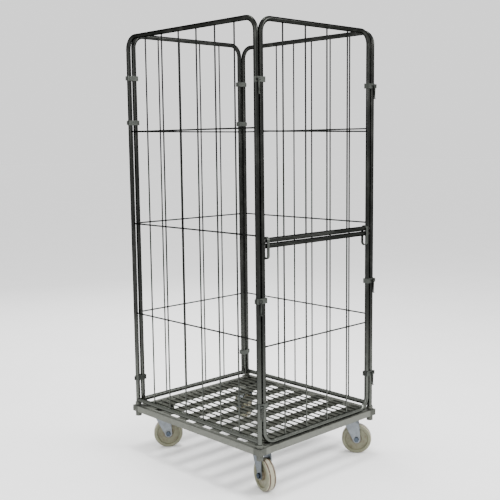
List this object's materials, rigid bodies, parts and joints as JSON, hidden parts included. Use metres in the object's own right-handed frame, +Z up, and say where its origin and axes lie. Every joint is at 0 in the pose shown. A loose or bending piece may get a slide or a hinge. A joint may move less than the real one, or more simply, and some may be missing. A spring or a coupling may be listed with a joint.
{
  "type": "roll cage container",
  "caption": "Wheeled wire cage with a slotted wire deck, plug-in side and rear panels, a front gate in two folding leaves, and swivel castors under its corners.",
  "frame": {"origin": "on the floor under the middle of the base, midway between the four legs", "axes": "+Z up, the gate faces -Y, +X to the right seen from the gate"},
  "size_m": [0.69, 0.8242, 1.775],
  "materials": {
    "panel_steel": "zinc-plated round tube and wire, weathered to a dull dark grey with bright streaks",
    "clip_steel": "plated strap and rod, worn",
    "base_steel": "hot-dip galvanised, dull greenish grey with spangle",
    "castor_steel": "bright zinc-plated pressed steel with a blue cast",
    "bolt_steel": "zinc-plated fasteners",
    "wheel_nylon": "solid cream nylon, dirty at the tread's edges"
  },
  "bodies": {
    "cage": {"left_frame": "panel_steel", "left_bottom_rail": "panel_steel", "left_uprights": "panel_steel", "left_cross_wires": "panel_steel", "right_frame": "panel_steel", "right_bottom_rail": "panel_steel", "right_uprights": "panel_steel", "right_cross_wires": "panel_steel", "rear_frame": "panel_steel", "rear_bottom_rail": "panel_steel", "rear_uprights": "panel_steel", "rear_cross_wires": "panel_steel", "rear_clips": "clip_steel", "base_rail_left": "base_steel", "base_rail_right": "base_steel", "base_rail_front": "base_steel", "base_rail_rear": "base_steel", "corner_sockets": "base_steel", "deck_rods": "base_steel", "deck_strips": "base_steel", "castor_pads": "base_steel", "castor_front_left_plate": "castor_steel", "castor_front_right_plate": "castor_steel", "castor_rear_left_plate": "castor_steel", "castor_rear_right_plate": "castor_steel", "castor_plate_bolts": "bolt_steel", "castor_kingpins": "bolt_steel"},
    "lower_gate": {"lower_gate_frame": "panel_steel", "lower_gate_top_rail": "panel_steel", "lower_gate_wires": "panel_steel", "lower_gate_clips": "clip_steel"},
    "upper_gate": {"upper_gate_frame": "panel_steel", "upper_gate_bottom_rail": "panel_steel", "upper_gate_wires": "panel_steel", "upper_gate_clips": "clip_steel"},
    "link_left": {"fold_link_left": "clip_steel"},
    "link_right": {"fold_link_right": "clip_steel"},
    "left_low_lever": {"lever_left_low": "clip_steel"},
    "left_mid_lever": {"lever_left_mid": "clip_steel"},
    "left_high_lever": {"lever_left_high": "clip_steel"},
    "right_low_lever": {"lever_right_low": "clip_steel"},
    "right_mid_lever": {"lever_right_mid": "clip_steel"},
    "right_high_lever": {"lever_right_high": "clip_steel"},
    "front_left_swivel": {"castor_front_left_fork": "castor_steel", "castor_front_left_sleeve": "bolt_steel", "castor_front_left_axle": "bolt_steel"},
    "front_left_wheel": {"castor_front_left_wheel": "wheel_nylon"},
    "front_right_swivel": {"castor_front_right_fork": "castor_steel", "castor_front_right_sleeve": "bolt_steel", "castor_front_right_axle": "bolt_steel"},
    "front_right_wheel": {"castor_front_right_wheel": "wheel_nylon"},
    "rear_left_swivel": {"castor_rear_left_fork": "castor_steel", "castor_rear_left_sleeve": "bolt_steel", "castor_rear_left_axle": "bolt_steel"},
    "rear_left_wheel": {"castor_rear_left_wheel": "wheel_nylon"},
    "rear_right_swivel": {"castor_rear_right_fork": "castor_steel", "castor_rear_right_sleeve": "bolt_steel", "castor_rear_right_axle": "bolt_steel"},
    "rear_right_wheel": {"castor_rear_right_wheel": "wheel_nylon"}
  },
  "joints": [
    {"name": "gate_swing", "type": "hinge", "parent": "cage", "child": "lower_gate", "pos_m": [-0.3275, -0.379, 0.55], "axis": [0, 0, -1], "range_deg": [0, 170]},
    {"name": "gate_fold", "type": "hinge", "parent": "lower_gate", "child": "upper_gate", "pos_m": [0, -0.397, 0.954], "axis": [1, 0, 0], "range_deg": [0, 175]},
    {"name": "link_left_turn", "type": "hinge", "parent": "upper_gate", "child": "link_left", "pos_m": [-0.2855, -0.379, 0.96425], "axis": [1, 0, 0], "range_deg": [-87.5, 0]},
    {"name": "link_right_turn", "type": "hinge", "parent": "upper_gate", "child": "link_right", "pos_m": [0.2855, -0.379, 0.96425], "axis": [1, 0, 0], "range_deg": [-87.5, 0]},
    {"name": "left_low_lever_turn", "type": "hinge", "parent": "lower_gate", "child": "left_low_lever", "pos_m": [-0.3275, -0.3944, 0.349], "axis": [-1, 0, 0], "range_deg": [0, 90]},
    {"name": "left_mid_lever_turn", "type": "hinge", "parent": "lower_gate", "child": "left_mid_lever", "pos_m": [-0.3275, -0.3944, 0.7445], "axis": [-1, 0, 0], "range_deg": [0, 90]},
    {"name": "left_high_lever_turn", "type": "hinge", "parent": "upper_gate", "child": "left_high_lever", "pos_m": [-0.3275, -0.3944, 1.5405], "axis": [-1, 0, 0], "range_deg": [0, 90]},
    {"name": "right_low_lever_turn", "type": "hinge", "parent": "lower_gate", "child": "right_low_lever", "pos_m": [0.3275, -0.3944, 0.349], "axis": [-1, 0, 0], "range_deg": [0, 90]},
    {"name": "right_mid_lever_turn", "type": "hinge", "parent": "lower_gate", "child": "right_mid_lever", "pos_m": [0.3275, -0.3944, 0.7445], "axis": [-1, 0, 0], "range_deg": [0, 90]},
    {"name": "right_high_lever_turn", "type": "hinge", "parent": "upper_gate", "child": "right_high_lever", "pos_m": [0.3275, -0.3944, 1.5405], "axis": [-1, 0, 0], "range_deg": [0, 90]},
    {"name": "front_left_swivel_turn", "type": "hinge", "parent": "cage", "child": "front_left_swivel", "pos_m": [-0.263, -0.314, 0.148], "axis": [0, 0, 1], "continuous": true},
    {"name": "front_left_wheel_spin", "type": "hinge", "parent": "front_left_swivel", "child": "front_left_wheel", "pos_m": [-0.27274, -0.34866, 0.0625], "axis": [0.9627, -0.2706, 0], "continuous": true},
    {"name": "front_right_swivel_turn", "type": "hinge", "parent": "cage", "child": "front_right_swivel", "pos_m": [0.263, -0.314, 0.148], "axis": [0, 0, 1], "continuous": true},
    {"name": "front_right_wheel_spin", "type": "hinge", "parent": "front_right_swivel", "child": "front_right_wheel", "pos_m": [0.28561, -0.34202, 0.0625], "axis": [0.7782, 0.628, 0], "continuous": true},
    {"name": "rear_left_swivel_turn", "type": "hinge", "parent": "cage", "child": "rear_left_swivel", "pos_m": [-0.263, 0.314, 0.148], "axis": [0, 0, 1], "continuous": true},
    {"name": "rear_left_wheel_spin", "type": "hinge", "parent": "rear_left_swivel", "child": "rear_left_wheel", "pos_m": [-0.23452, 0.29198, 0.0625], "axis": [0.6115, 0.7912, 0], "continuous": true},
    {"name": "rear_right_swivel_turn", "type": "hinge", "parent": "cage", "child": "rear_right_swivel", "pos_m": [0.263, 0.314, 0.148], "axis": [0, 0, 1], "continuous": true},
    {"name": "rear_right_wheel_spin", "type": "hinge", "parent": "rear_right_swivel", "child": "rear_right_wheel", "pos_m": [0.27274, 0.34866, 0.0625], "axis": [-0.9627, 0.2706, 0], "continuous": true}
  ],
  "couplings": [
    {"joint": "link_left_turn", "follows": "gate_fold", "ratio": -0.5},
    {"joint": "link_right_turn", "follows": "gate_fold", "ratio": -0.5}
  ]
}
